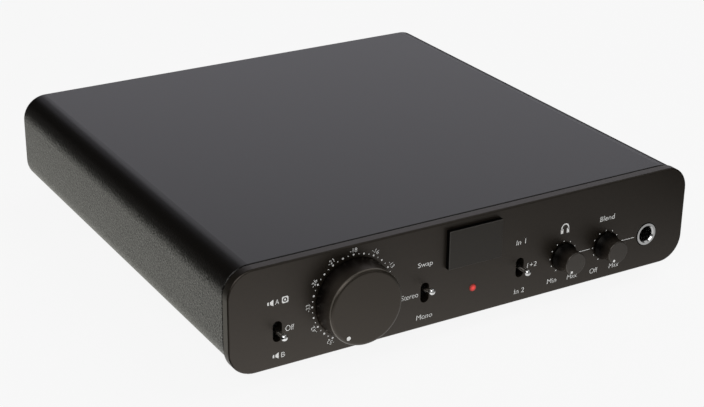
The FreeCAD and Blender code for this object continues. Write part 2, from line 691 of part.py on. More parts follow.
def volume_pot():
    body = rod_y(0, 0, pot_front(), pot_depth(), VOLUME_POT_R)
    return pot(body, volume_rotor_r(), VOLUME_X, VOLUME_Z)


def small_pot(x):
    body = box(-SMALL_POT_W / 2, SMALL_POT_W / 2, pot_front(), pot_depth(),
               -SMALL_POT_H / 2, SMALL_POT_H / 2)
    return pot(body, small_rotor_r(), x, CONTROL_Z)


# ---- Toggle switches ----
def switch_body(x):
    """Switch housing on the front board, with the pocket its lever swings in."""
    front = BACK_Y + SWITCH_GAP
    body = box(x - SWITCH_W / 2, x + SWITCH_W / 2, front, FRONT_BOARD_Y,
               CONTROL_Z - SWITCH_H / 2, CONTROL_Z + SWITCH_H / 2)
    swing = math.radians(LEVER_TILT)
    half_x = BALL_R + LEVER_CLEAR
    half_z = max(BALL_R, LEVER_TAIL_L * math.sin(swing) + LEVER_TAIL_R) + LEVER_CLEAR
    pocket = box(x - half_x, x + half_x, front, PIVOT_Y + LEVER_TAIL_L + LEVER_CLEAR,
                 CONTROL_Z - half_z, CONTROL_Z + half_z)
    return cut(body, pocket, pivot_pin(x))


def pivot_pin(x):
    return rod_x(PIVOT_Y, CONTROL_Z, x - SWITCH_W / 2, x + SWITCH_W / 2, PIVOT_PIN_R)


def switch_lever(x, tilt):
    """Ball-tipped lever on its pivot ball; tilt lifts the tip."""
    length = PIVOT_Y - FACE_Y + LEVER_REACH
    origin = Vector(0, 0, 0)
    shank = Part.makeCone(LEVER_ROOT_R, LEVER_NECK_R, length, origin, Vector(0, -1, 0))
    tip = Part.makeSphere(LEVER_TIP_R, Vector(0, -length, 0))
    ball = Part.makeSphere(BALL_R)
    tail = rod_y(0, 0, 0, LEVER_TAIL_L, LEVER_TAIL_R)
    lever = cut(fuse(shank, tip, ball, tail), rod_x(0, 0, -BALL_R, BALL_R, PIVOT_PIN_R + RUN_CLEAR))
    lever.rotate(origin, Vector(-1, 0, 0), tilt)
    lever.translate(Vector(x, PIVOT_Y, CONTROL_Z))
    return lever


# ---- LED and headphone jack ----
def power_led():
    """Domed lens through the plate, its flange on the front board."""
    lens = rod_y(0, LED_Z, FACE_Y - LED_REACH, FRONT_BOARD_Y, LED_R)
    rim = [e for e in lens.Edges if e.BoundBox.YMax < FACE_Y - LED_REACH + TOUCH]
    flange = rod_y(0, LED_Z, FRONT_BOARD_Y - LED_FLANGE_T, FRONT_BOARD_Y, LED_FLANGE_R)
    return fuse(lens.makeFillet(min(LED_REACH, LED_R / 2), rim[:1]), flange)


def phones_jack_ring():
    """Chrome guide ring with a flared mouth, seated in the jack body."""
    end = PLATE_T + TRAY_T + RING_SEAT
    ring = turned([(-RING_REACH, RING_MOUTH_R), (-RING_REACH, RING_R), (end, RING_R),
                   (end, JACK_BORE_R), (RING_THROAT, JACK_BORE_R)])
    return on_axis(ring, PHONES_JACK_X, CONTROL_Z)


def phones_jack_body():
    half = PHONES_JACK_W / 2
    body = box(PHONES_JACK_X - half, PHONES_JACK_X + half, WALL_Y, PHONES_JACK_END_Y,
               CONTROL_Z - half, CONTROL_Z + half)
    seat = rod_y(PHONES_JACK_X, CONTROL_Z, WALL_Y, WALL_Y + RING_SEAT, RING_R)
    bore = rod_y(PHONES_JACK_X, CONTROL_Z, WALL_Y, PHONES_JACK_END_Y - JACK_END_WALL, JACK_BORE_R)
    return cut(body, seat, bore)


# ---- Boards ----
def front_board():
    board = box(FRONT_BOARD_X0, FRONT_BOARD_X1, FRONT_BOARD_Y, LINK_Y,
                FRONT_BOARD_Z, FRONT_BOARD_Z + FRONT_BOARD_H)
    return cut(board, *[rod_y(x, z, FRONT_BOARD_Y, LINK_Y, SCREW_R + SCREW_CLEAR)
                        for x, z in spacer_places()])


def front_board_spacers():
    spacers = []
    for x, z in spacer_places():
        post = fuse(rod_y(x, z, WALL_Y, FRONT_BOARD_Y, SPACER_R),
                    rod_y(x, z, BACK_Y, WALL_Y, SPACER_SPIGOT_R))
        spacers.append(cut(post, rod_y(x, z, LINK_Y - SCREW_L, FRONT_BOARD_Y, SCREW_R)))
    return spacers


def main_board():
    """Board over the whole floor, with a notch round the headphone jack."""
    board = box(-MAIN_HALF_W, MAIN_HALF_W, MAIN_BOARD_Y, MAIN_REAR_Y, MAIN_BOARD_Z, MAIN_TOP_Z)
    notch = box(FRONT_BOARD_X1, MAIN_HALF_W, MAIN_BOARD_Y, PHONES_JACK_END_Y + BOARD_CLEAR,
                MAIN_BOARD_Z, MAIN_TOP_Z)
    return cut(board, notch, *[rod_z(x, y, MAIN_BOARD_Z, MAIN_TOP_Z, SCREW_R + SCREW_CLEAR)
                               for x, y in standoff_places()])


def main_board_standoffs():
    return [cut(rod_z(x, y, FLOOR_Z, MAIN_BOARD_Z, STANDOFF_R),
                rod_z(x, y, MAIN_TOP_Z - SCREW_L, MAIN_BOARD_Z, SCREW_R)) for x, y in standoff_places()]


def board_screws():
    main = [screw_down(x, y, MAIN_TOP_Z) for x, y in standoff_places()]
    return main + [screw_forward(x, LINK_Y, z) for x, z in spacer_places()]


def board_link_header():
    return box(-LINK_W / 2, LINK_W / 2, LINK_Y, LINK_Y + LINK_D, MAIN_TOP_Z, MAIN_TOP_Z + LINK_H)


def on_board(x, y, size):
    """Block standing on the main board with its middle at (x, y)."""
    dx, dy, dz = size
    return box(x - dx / 2, x + dx / 2, y - dy / 2, y + dy / 2, MAIN_TOP_Z, MAIN_TOP_Z + dz)


def parts_row_y():
    """Middle of the row of parts in front of the rear connectors."""
    return JACK_FRONT_Y - PART_GAP - RELAY_SIZE[1] / 2


def speaker_relays():
    first = REAR_JACK_XS[-1] + RELAY_PITCH
    return [on_board(first + i * RELAY_PITCH, parts_row_y(), RELAY_SIZE) for i in range(RELAY_COUNT)]


def op_amps():
    """Two rows of dual op-amps in the middle of the board."""
    front = parts_row_y() - RELAY_SIZE[1] / 2 - PART_GAP - CHIP_PITCH * CHIP_ROWS
    chips = []
    for row in range(CHIP_ROWS):
        for column in range(CHIP_COLUMNS):
            x = (column - CHIP_COLUMNS + 1) * CHIP_PITCH - CHIP_SHIFT
            chips.append(on_board(x, front + row * CHIP_PITCH, CHIP_SIZE))
    return chips


def heat_sink_y():
    return parts_row_y() - RELAY_SIZE[1] / 2


def regulator_heatsink():
    """Finned bar standing on the board, fins to the front."""
    y = heat_sink_y()
    base = box(ROCKER_X - SINK_L / 2, ROCKER_X + SINK_L / 2, y - SINK_BASE_T, y,
               MAIN_TOP_Z, MAIN_TOP_Z + SINK_H)
    pitch = (SINK_L - SINK_FIN_T) / (SINK_FIN_COUNT - 1)
    left = ROCKER_X - SINK_L / 2
    fins = [box(left + i * pitch, left + i * pitch + SINK_FIN_T, y - SINK_BASE_T - SINK_FIN_D,
                y - SINK_BASE_T, MAIN_TOP_Z, MAIN_TOP_Z + SINK_H) for i in range(SINK_FIN_COUNT)]
    return fuse(base, *fins)


def voltage_regulators():
    """Two regulators on the back of the heat sink."""
    y = heat_sink_y() + REGULATOR_SIZE[1] / 2
    return [on_board(ROCKER_X + side * REGULATOR_PITCH / 2, y, REGULATOR_SIZE) for side in (-1, 1)]


def filter_capacitors():
    """Cans in two columns in front of the heat sink, from back to front."""
    rear_y = heat_sink_y() - SINK_BASE_T - SINK_FIN_D - PART_GAP - CAPACITOR_R
    right_x = MAIN_HALF_W - STANDOFF_INSET - SCREW_HEAD_R - PART_GAP - CAPACITOR_R
    cans = []
    for i in range(CAPACITOR_COUNT):
        x = right_x - i % 2 * CAPACITOR_PITCH
        y = rear_y - i // 2 * CAPACITOR_PITCH
        cans.append(rod_z(x, y, MAIN_TOP_Z, MAIN_TOP_Z + CAPACITOR_H, CAPACITOR_R))
    return cans


# ---- Rear connectors ----
def rear_jack(x):
    """Balanced jack: housing on the board, threaded bush through the panel."""
    body = box(x - REAR_JACK_W / 2, x + REAR_JACK_W / 2, JACK_FRONT_Y, PANEL_IN_Y,
               MAIN_TOP_Z, MAIN_TOP_Z + REAR_JACK_H)
    end = PANEL_OUT_Y + REAR_BUSH_REACH
    bush = rod_y(x, REAR_ROW_Z, PANEL_IN_Y, end, REAR_BUSH_R)
    return cut(fuse(body, bush), rod_y(x, REAR_ROW_Z, end - PLUG_DEPTH, end, JACK_BORE_R))


def rear_jack_nuts():
    return [cut(hexagon(x, REAR_ROW_Z, PANEL_OUT_Y, PANEL_OUT_Y + REAR_NUT_T, REAR_NUT_AF),
                rod_y(x, REAR_ROW_Z, PANEL_OUT_Y, PANEL_OUT_Y + REAR_NUT_T, REAR_BUSH_R))
            for x in REAR_JACK_XS]


def phono_block():
    """Insulating block of the phono pair, with the cores that stand inside the shells."""
    body = box(PHONO_X - PHONO_BLOCK_W / 2, PHONO_X + PHONO_BLOCK_W / 2,
               PANEL_IN_Y - PHONO_BLOCK_D, PANEL_IN_Y, MAIN_TOP_Z, MAIN_TOP_Z + REAR_JACK_H)
    face = PANEL_OUT_Y + PHONO_REACH - PHONO_CORE_SETBACK
    collars = [rod_y(x, REAR_ROW_Z, PANEL_IN_Y, PANEL_OUT_Y + PHONO_COLLAR_T, PHONO_COLLAR_R)
               for x in PHONO_XS]
    cores = [rod_y(x, REAR_ROW_Z, PANEL_IN_Y, face, PHONO_CORE_R) for x in PHONO_XS]
    holes = [rod_y(x, REAR_ROW_Z, face - PHONO_HOLE_D, face, PHONO_HOLE_R) for x in PHONO_XS]
    return cut(fuse(body, *collars, *cores), *holes)


def phono_shells():
    """Metal shells that a phono plug's collar grips."""
    y0 = PANEL_OUT_Y + PHONO_COLLAR_T
    y1 = PANEL_OUT_Y + PHONO_REACH
    return [cut(rod_y(x, REAR_ROW_Z, y0, y1, PHONO_SHELL_R), rod_y(x, REAR_ROW_Z, y0, y1, PHONO_CORE_R))
            for x in PHONO_XS]


def inlet_z():
    return MAIN_TOP_Z + INLET_H / 2


def power_inlet():
    """Low-voltage barrel inlet."""
    body = box(INLET_X - INLET_W / 2, INLET_X + INLET_W / 2, PANEL_IN_Y - INLET_D, PANEL_IN_Y,
               MAIN_TOP_Z, MAIN_TOP_Z + INLET_H)
    end = PANEL_OUT_Y + INLET_REACH
    bush = rod_y(INLET_X, inlet_z(), PANEL_IN_Y, end, INLET_BUSH_R)
    return cut(fuse(body, bush), rod_y(INLET_X, inlet_z(), end - INLET_BORE_D, end, INLET_BORE_R))


def power_inlet_pin():
    foot_y = PANEL_OUT_Y + INLET_REACH - INLET_BORE_D
    return rod_y(INLET_X, inlet_z(), foot_y, foot_y + INLET_PIN_L, INLET_PIN_R)


# ---- Rear rocker switch ----
def rocker_pocket_half_x():
    return ROCKER_L / 2 + ROCKER_CLEAR


def rocker_pocket_half_z():
    return ROCKER_W / 2 + ROCKER_CLEAR


def rocker_body_half_x():
    return rocker_pocket_half_x() + ROCKER_WALL


def rocker_body_half_z():
    return rocker_pocket_half_z() + ROCKER_WALL


def rocker_pivot_y():
    return PANEL_OUT_Y - ROCKER_PIVOT_IN


def power_switch_housing():
    """Snap-in housing with a bezel, a pocket for the rocker and two trunnion holes."""
    half_x = rocker_body_half_x()
    half_z = rocker_body_half_z()
    body = box(ROCKER_X - half_x, ROCKER_X + half_x, PANEL_OUT_Y - ROCKER_BODY_D, PANEL_OUT_Y,
               REAR_ROW_Z - half_z, REAR_ROW_Z + half_z)
    bezel = box(ROCKER_X - ROCKER_BEZEL_W / 2, ROCKER_X + ROCKER_BEZEL_W / 2,
                PANEL_OUT_Y, PANEL_OUT_Y + ROCKER_BEZEL_T,
                REAR_ROW_Z - ROCKER_BEZEL_H / 2, REAR_ROW_Z + ROCKER_BEZEL_H / 2)
    rim = [e for e in bezel.Edges if e.BoundBox.YMin > PANEL_OUT_Y + ROCKER_BEZEL_T - TOUCH]
    bezel = bezel.makeFillet(ROCKER_BEZEL_T / 2, rim)
    swing = ROCKER_L / 2 * math.sin(math.radians(ROCKER_TILT))
    pocket = box(ROCKER_X - rocker_pocket_half_x(), ROCKER_X + rocker_pocket_half_x(),
                 rocker_pivot_y() - ROCKER_DEPTH - swing - ROCKER_CLEAR, PANEL_OUT_Y + ROCKER_BEZEL_T,
                 REAR_ROW_Z - rocker_pocket_half_z(), REAR_ROW_Z + rocker_pocket_half_z())
    reach = rocker_pocket_half_z() + TRUNNION_L
    trunnions = rod_z(ROCKER_X, rocker_pivot_y(), REAR_ROW_Z - reach, REAR_ROW_Z + reach,
                      TRUNNION_R + RUN_CLEAR)
    return cut(fuse(body, bezel), pocket, trunnions)


def power_rocker():
    """Rocker with a shallow V surface, shown pressed on its +X side.

    Its ends are drafted by the tilt, so they clear the pocket's walls when it tips.
    """
    half = ROCKER_L / 2
    slope = math.tan(math.radians(ROCKER_TILT))
    top = ROCKER_CREST + half * slope
    outline = [Vector(ROCKER_DEPTH * slope - half, -ROCKER_DEPTH, 0),
               Vector(half - ROCKER_DEPTH * slope, -ROCKER_DEPTH, 0),
               Vector(half, 0, 0), Vector(half - top * slope, top, 0),
               Vector(0, ROCKER_CREST, 0),
               Vector(top * slope - half, top, 0), Vector(-half, 0, 0)]
    body = Part.Face(Part.makePolygon(outline + outline[:1])).extrude(Vector(0, 0, ROCKER_W))
    body.translate(Vector(0, 0, -ROCKER_W / 2))
    reach = ROCKER_W / 2 + TRUNNION_L
    body = fuse(body, rod_z(0, 0, -reach, reach, TRUNNION_R))
    body.rotate(Vector(0, 0, 0), Vector(0, 0, -1), ROCKER_TILT)
    body.translate(Vector(ROCKER_X, rocker_pivot_y(), REAR_ROW_Z))
    return body


# ---- All nodes ----
def all_nodes():
    nodes = {
        "front_panel": front_panel(),
        "badge_plate": badge_plate(),
        "case_cover": case_cover(),
        "chassis_tray": chassis_tray(),
        "rear_panel": rear_panel(),
        "underside_screws": underside_screws(),
        "panel_screws": panel_screws(),
        "front_board": front_board(),
        "front_board_spacers": front_board_spacers(),
        "main_board": main_board(),
        "main_board_standoffs": main_board_standoffs(),
        "board_screws": board_screws(),
        "board_link_header": board_link_header(),
        "volume_pot": volume_pot(),
        "phones_pot": small_pot(PHONES_X),
        "crossfeed_pot": small_pot(CROSSFEED_X),
        "volume_knob": volume_knob(),
        "volume_pointer": on_axis(volume_dot(), VOLUME_X, VOLUME_Z, volume_turn()),
        "volume_set_screw": volume_set_screw(),
        "volume_shaft": on_axis(pot_shaft(VOLUME_REACH, volume_rotor_r()), VOLUME_X, VOLUME_Z,
                                volume_turn()),
        "power_led": power_led(),
        "phones_jack_ring": phones_jack_ring(),
        "phones_jack_body": phones_jack_body(),
        "switch_pivot_pins": [pivot_pin(x) for x in SWITCH_XS],
        "rear_jack_nuts": rear_jack_nuts(),
        "line_2_phono_block": phono_block(),
        "line_2_phono_shells": phono_shells(),
        "power_inlet": power_inlet(),
        "power_inlet_pin": power_inlet_pin(),
        "power_switch_housing": power_switch_housing(),
        "power_rocker": power_rocker(),
        "speaker_relays": speaker_relays(),
        "op_amps": op_amps(),
        "filter_capacitors": filter_capacitors(),
        "voltage_regulators": voltage_regulators(),
        "regulator_heatsink": regulator_heatsink(),
    }
    for name, x in (("phones", PHONES_X), ("crossfeed", CROSSFEED_X)):
        nodes[name + "_knob"] = small_knob(x)
        nodes[name + "_pointer"] = on_axis(small_dot(), x, CONTROL_Z, SMALL_REST_DEG)
        nodes[name + "_shaft"] = on_axis(pot_shaft(SMALL_REACH, small_rotor_r()), x, CONTROL_Z,
                                         SMALL_REST_DEG)
    for name, x, tilt in (("speaker", SPEAKER_X, 0), ("mode", MODE_X, LEVER_TILT), ("source", SOURCE_X, 0)):
        nodes[name + "_switch_body"] = switch_body(x)
        nodes[name + "_switch_lever"] = switch_lever(x, tilt)
    for name, x in zip(REAR_JACK_NAMES, REAR_JACK_XS):
        nodes[name + "_jack"] = rear_jack(x)
    for name, (x, y) in foot_places().items():
        nodes[name] = foot(x, y)
    return nodes


def main():
    os.makedirs("parts", exist_ok=True)
    for name, shape in all_nodes().items():
        if isinstance(shape, list):
            shape = Part.makeCompound(shape)
        shape.exportStep("parts/" + name + ".step")


main()
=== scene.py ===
"""Looks of the studio monitor controller: materials, printed marks, light and camera."""
import json
import math

import bmesh
import bpy
from mathutils import Matrix, Vector
from mathutils.bvhtree import BVHTree

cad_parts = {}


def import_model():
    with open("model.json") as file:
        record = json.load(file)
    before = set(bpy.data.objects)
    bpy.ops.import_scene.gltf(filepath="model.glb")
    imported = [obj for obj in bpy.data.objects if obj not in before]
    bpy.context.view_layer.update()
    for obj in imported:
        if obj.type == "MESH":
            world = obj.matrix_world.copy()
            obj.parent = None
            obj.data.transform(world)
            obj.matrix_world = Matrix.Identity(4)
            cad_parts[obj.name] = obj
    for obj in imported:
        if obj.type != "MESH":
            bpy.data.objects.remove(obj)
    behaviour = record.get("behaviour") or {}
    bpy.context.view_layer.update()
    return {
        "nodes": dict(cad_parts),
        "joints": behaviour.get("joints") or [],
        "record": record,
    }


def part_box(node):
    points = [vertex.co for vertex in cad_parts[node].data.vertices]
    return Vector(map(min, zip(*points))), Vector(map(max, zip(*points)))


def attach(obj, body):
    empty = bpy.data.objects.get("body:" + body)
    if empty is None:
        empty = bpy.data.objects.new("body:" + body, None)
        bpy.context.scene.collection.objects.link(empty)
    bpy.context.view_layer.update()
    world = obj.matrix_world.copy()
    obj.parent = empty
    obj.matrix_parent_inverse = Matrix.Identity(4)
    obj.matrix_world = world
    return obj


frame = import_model()
nodes = frame["nodes"]
scene = bpy.context.scene
scene.view_settings.view_transform = "Standard"

MM = 0.001

# ---- Places read from the frame ----
panel_low, panel_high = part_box("front_panel")
FACE_Y = panel_low.y
BASE_Z = panel_low.z
pivots = {j["child"]: Vector(j["pos_m"]) for j in frame["joints"]}
VOLUME_AXIS = pivots["volume_control"]
PHONES_AXIS = pivots["phones_control"]
CROSSFEED_AXIS = pivots["crossfeed_control"]

# ---- Camera; the aim is counted from the plate's middle, its face and its lower edge, in millimetres ----
CAMERA_AIM = (2.14, 95.45, 9.63)
CAMERA_AZIMUTH = -30.718
CAMERA_ELEVATION = 23.876
CAMERA_ROLL = 0.634
CAMERA_DISTANCE = 706.8
SENSOR_WIDTH = 36.0
CAMERA_LENS = 83.43

# ---- Printed marks, millimetres from the plate's middle and its lower edge ----
PRINT_LIFT = 0.02          # gap between the plate and the print, so that the two faces don't mix
PRINT_T = 0.02
DIAL_RING_R = 17.2
DIAL_BIG_R = 0.39
DIAL_SMALL_R = 0.23
DIAL_STEPS = 20
DIAL_START = -120.0        # degrees, counter-clockwise from straight right
DIAL_SWEEP = 300.0         # clockwise from there
DIAL_NUMBERS = ("-52", "-42", "-33", "-26", "-21", "-18", "-16", "-13", "-10", "-5", "0")
NUMBER_R = 18.95
NUMBER_H = 1.7
LEVEL_RING_R = 6.45
LEVEL_DOT_R = 0.25
LEVEL_STEPS = 10
LINE_W = 0.2
LINE_Z = 14.8
LINES = ((50.3, 56.7), (71.2, 79.5))
SPEAKER_PLACES = ((-87.95, 26.9), (-86.0, 5.0))
SPEAKER_H = 2.55
SPEAKER_MAGNET = ((-0.52, -0.24), (-0.27, -0.24), (-0.27, 0.24), (-0.52, 0.24))    # corners, in icon heights
SPEAKER_CONE = ((-0.08, -0.20), (0.44, -0.50), (0.44, 0.50), (-0.08, 0.20))
WOOFER_PLACE = (-82.05, 27.05)
WOOFER_H = 2.65
WOOFER_CORNER = 1.22       # reach of the box's cut corners, in half heights
WOOFER_RING = 0.70         # the driver's outer edge
WOOFER_DOME = 0.30
HEADPHONE_PLACE = (43.45, 26.9)
HEADPHONE_H = 4.1
BAND_LIFT = 0.06           # the headband's centre above the icon's, in icon heights
BAND_R = 0.40
BAND_W = 0.12
BAND_ENDS = (-30, 210)     # degrees
CUP_X = 0.35               # ear cups, in icon heights
CUP_W = 0.28
CUP_ENDS = (-0.50, -0.02)
ROUND = 16                 # corners of a dot
SMOOTH = 32                # corners of the woofer's rings
WORD_BOLD = -0.006         # growth of a letter's outline, in letter heights
WORD_SLANT = 0.06
# text, its middle across and up, height, width
WORDS = (
    ("A", -85.35, 26.9, 2.0, 1.7),
    ("Off", -80.15, 15.2, 2.3, 3.6),
    ("B", -83.1, 4.9, 2.0, 1.6),
    ("Swap", -22.2, 26.6, 2.6, 6.6),
    ("Stereo", -28.85, 14.8, 2.1, 7.6),
    ("Mono", -22.0, 4.8, 2.1, 7.2),
    ("In 1", 22.2, 25.9, 2.1, 4.6),
    ("1+2", 28.0, 14.8, 2.0, 4.6),
    ("In 2", 22.45, 4.6, 2.1, 4.8),
    ("Min", 38.35, 5.15, 2.1, 4.6),
    ("Max", 48.5, 4.75, 2.1, 5.0),
    ("Blend", 64.65, 26.8, 2.2, 7.4),
    ("Off", 59.5, 4.6, 2.2, 4.1),
    ("Max", 69.8, 4.65, 2.1, 5.0),
)

# ---- Detail behind, millimetres ----
ROCKER_MARK_X = 4.2        # marks left and right of the rocker's middle
ROCKER_MARK_H = 2.6
ROCKER_MARK_W = 0.45
MARK_SIDES = 24
THREAD_PITCH = 0.5
THREAD_DEPTH = 0.16        # crest above and groove below the bush
THREAD_ROOT = 0.01         # root above the bush
THREAD_SIDES = 48

# ---- Light; lengths on the floor and the table in millimetres ----
FLOOR_HALF = 6000.0
FLOOR_TONES = ((0.060, 0.060, 0.060), (0.064, 0.064, 0.064))
FLOOR_GLOW = 0.904
ROOM_GLOW = 0.015
TABLE_LIFT = 0.5           # the mirrored table top above the floor
TABLE_HALF = 460.0
TABLE_STEP = 10.0
TABLE_FRONT = 0.92         # brightness in front of the object's left end
TABLE_SIDE = 0.68          # and beside and behind it
TABLE_SIDE_TINT = (1.0, 1.0, 0.92)
TABLE_MELT = 40.0          # one passes into the other over this length behind the plate's face
TABLE_FALL_X = 0.0022      # loss for each millimetre to the right in front of the object
TABLE_FALL_Y = 0.0025      # and for each millimetre forward
TABLE_LEAST = 0.28
SIDE_NEAR = 42.0           # the table is bright as far as this beside the object
SIDE_FAR = 82.0            # and dark from here on
TABLE_NEAR = 130.0         # the same before and behind it
TABLE_FAR = 270.0
SHADE_FROM = 47.0          # the table is dark between these bearings from the plate's left end,
SHADE_TO = 150.0           # counted to the left from straight behind
SHADE_SOFT = 12.0

WHITE = (1.0, 1.0, 1.0)
# name, azimuth (0 is behind the object, counted to the right) and elevation in degrees, distance and size in
# metres, radiance, colour, and whether glossy faces mirror it
SOFTBOXES = (
    ("back_light", 38, 23, 2.2, (2.1, 1.25), 0.71, (0.93, 0.92, 1.0), True),
    ("back_strip", 3, 22, 2.2, (0.5, 1.0), 0.27, (0.92, 0.90, 1.0), True),
    ("top_light", 102, 60, 1.6, (1.2, 1.2), 1.2, WHITE, False),
    ("left_glow", -36, 4, 2.2, (1.2, 0.6), 0.09, (1.0, 0.97, 0.92), True),
    ("rim_light", 112, 58, 1.6, (1.2, 1.2), 0.40, WHITE, True),
    ("side_light", -95, 40, 2.2, (2.1, 1.0), 0.45, WHITE, True),
    ("camera_fill", -139, 42, 1.6, (1.3, 1.2), 1.7, WHITE, True),
    ("front_light", 150, 22, 1.6, (1.1, 0.7), 0.35, WHITE, True),
)

# ---- Finishes; lengths in millimetres, noise scales in waves per metre ----
VOLUME_REACH = (FACE_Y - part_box("volume_knob")[0].y) / MM
SMALL_REACH = (FACE_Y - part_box("phones_knob")[0].y) / MM
KNOB_RIM = 0.8             # the satin face ends this far behind a knob's front
RIM_HIGHLIGHT_DEPTHS = (2.0, 1.6)    # and the painted highlight line on its rim sets in between these
RIM_HIGHLIGHT_SETS_IN = (0.16, 0.30)     # how far the surface faces forward where the painted highlight line sets in
RIM_HIGHLIGHT_FADES = (0.42, 0.62)       # and where it ends towards the face
FOOT_SHADE_SHARE = 0.35         # share of a knob's length, next to the plate, where its flank is darkest: painted shade
FOOT_SHARE = 0.6           # share of its length over which the flank's metallic look fades; near the plate the metal with the dark foot colour mirrors almost nothing, part of the painted shade
COAT_ROUGH = 0.29
COAT_GRAIN = 0.24          # depth of the powder coat's grain on the sides
COAT_TOP_GRAIN = 0.04      # share of it on the top
COAT_TOP_GLINTS = 0.6      # share of its painted glints on the top
COAT_DARK = (0.006, 0.005, 0.004)
# painted glints: lighter specks in the base colour stand in for highlights off the grain
COAT_GLINT = (0.10, 0.098, 0.090)
COAT_GLINT_SCALE = 1700.0
COAT_GLINT_SPAN = (0.46, 0.60)     # of the noise that the painted glints come from
COAT_TURN = (0.10, 0.95)   # how far the surface faces up where the side passes into the top
COAT_SCALES = (1200.0, 2600.0)
COAT_FINE_SHARE = 0.4      # share of the finer grain
BADGE_FACE = (0.021, 0.017, 0.012)
# painted highlight: the bevel is given a lighter colour than the face
BADGE_BEVEL_HIGHLIGHT = (0.045, 0.040, 0.034)
BADGE_WALL = (0.004, 0.004, 0.004)
BEVEL_TO_FACE = (0.85, 0.97)   # how far the surface faces forward where the bevel passes into the face
WALL_TO_BEVEL = (0.30, 0.50)   # and where the wall passes into the bevel
LENS_R = 1.55
LENS_TONES = ((0.05, 0.004, 0.003), (0.07, 0.005, 0.004))
LED_CENTRE = (1.0, 0.062, 0.052)
LED_EDGE = (0.09, 0.014, 0.010)


def radians(*degrees):
    return [math.radians(d) for d in degrees]


def ramp(value, low, high):
    """Smooth rise from 0 at low to 1 at high."""
    share = min(max((value - low) / (high - low), 0.0), 1.0)
    return share * share * (3 - 2 * share)


# ---- Materials ----
class Graph:
    """A material's node tree with short calls for the nodes used here."""

    def __init__(self, name):
        self.material = bpy.data.materials.new(name)
        self.material.use_nodes = True
        self.tree = self.material.node_tree
        self.shader = self.tree.nodes["Principled BSDF"]
        where = self.node("ShaderNodeTexCoord")
        self.place = where.outputs["Object"]
        self.normal = where.outputs["Normal"]

    def node(self, kind, **values):
        made = self.tree.nodes.new(kind)
        for key, value in values.items():
            setattr(made, key, value)
        return made

    def link(self, source, target):
        self.tree.links.new(source, target)

    def set(self, **values):
        for key, value in values.items():
            self.shader.inputs[key.replace("_", " ")].default_value = value

    def noise(self, scale, detail=2.0, roughness=0.5):
        made = self.node("ShaderNodeTexNoise")
        made.inputs["Scale"].default_value = scale
        made.inputs["Detail"].default_value = detail
        made.inputs["Roughness"].default_value = roughness
        self.link(self.place, made.inputs["Vector"])
        return made.outputs["Fac"]

    def remap(self, value, low, high, from_low=0.3, from_high=0.7):
        """Value brought from one span to another; the one it comes from is a noise's unless given."""
        made = self.node("ShaderNodeMapRange")
        made.inputs["From Min"].default_value = from_low
        made.inputs["From Max"].default_value = from_high
        made.inputs["To Min"].default_value = low
        made.inputs["To Max"].default_value = high
        self.link(value, made.inputs["Value"])
        return made.outputs["Result"]

    def feed(self, target, value):
        """Link a socket to an input, or set the input to a plain colour."""
        if isinstance(value, bpy.types.NodeSocket):
            self.link(value, target)
        else:
            target.default_value = (*value, 1.0)

    def blend(self, share, first, second):
        """Colour between two, each plain or a socket, by a value from 0 to 1."""
        made = self.node("ShaderNodeMix", data_type="RGBA")
        self.feed(made.inputs[6], first)
        self.feed(made.inputs[7], second)
        self.link(share, made.inputs[0])
        return made.outputs[2]

    def add(self, first, second, share):
        """The first value and a share of the second."""
        made = self.node("ShaderNodeMath", operation="MULTIPLY_ADD")
        made.inputs[1].default_value = share
        self.link(second, made.inputs[0])
        self.link(first, made.inputs[2])
        return made.outputs[0]

    def times(self, first, second):
        made = self.node("ShaderNodeMath", operation="MULTIPLY")
        self.link(first, made.inputs[0])
        self.link(second, made.inputs[1])
        return made.outputs[0]

    def vector(self, operation, first, second):
        made = self.node("ShaderNodeVectorMath", operation=operation)
        self.link(first, made.inputs[0])
        made.inputs[1].default_value = second
        return made

    def facing(self, direction):
        """1 where the surface looks along this direction, 0 where it stands square to it."""
        return self.vector("DOT_PRODUCT", self.normal, direction).outputs["Value"]

    def ahead(self):
        """Distance in front of the plate's face, in millimetres."""
        away = self.vector("SUBTRACT", self.place, (0, FACE_Y, 0)).outputs["Vector"]
        return self.vector("DOT_PRODUCT", away, (0, -1 / MM, 0)).outputs["Value"]

    def off_axis(self, axis):
        """Distance from an axis that runs front to back, in millimetres."""
        away = self.vector("SUBTRACT", self.place, axis).outputs["Vector"]
        flat = self.vector("MULTIPLY", away, (1 / MM, 0, 1 / MM)).outputs["Vector"]
        made = self.node("ShaderNodeVectorMath", operation="LENGTH")
        self.link(flat, made.inputs[0])
        return made.outputs["Value"]

    def bump(self, height, distance, strength=None):
        made = self.node("ShaderNodeBump")
        made.inputs["Distance"].default_value = distance * MM
        if strength is not None:
            self.link(strength, made.inputs["Strength"])
        self.link(height, made.inputs["Height"])
        self.link(made.outputs["Normal"], self.shader.inputs["Normal"])

    def colour(self, first, second, scale, detail=3.0):
        fac = self.remap(self.noise(scale, detail), 0.0, 1.0)
        self.link(self.blend(fac, first, second), self.shader.inputs["Base Color"])

    def roughness(self, low, high, scale, detail=3.0):
        self.link(self.remap(self.noise(scale, detail), low, high), self.shader.inputs["Roughness"])


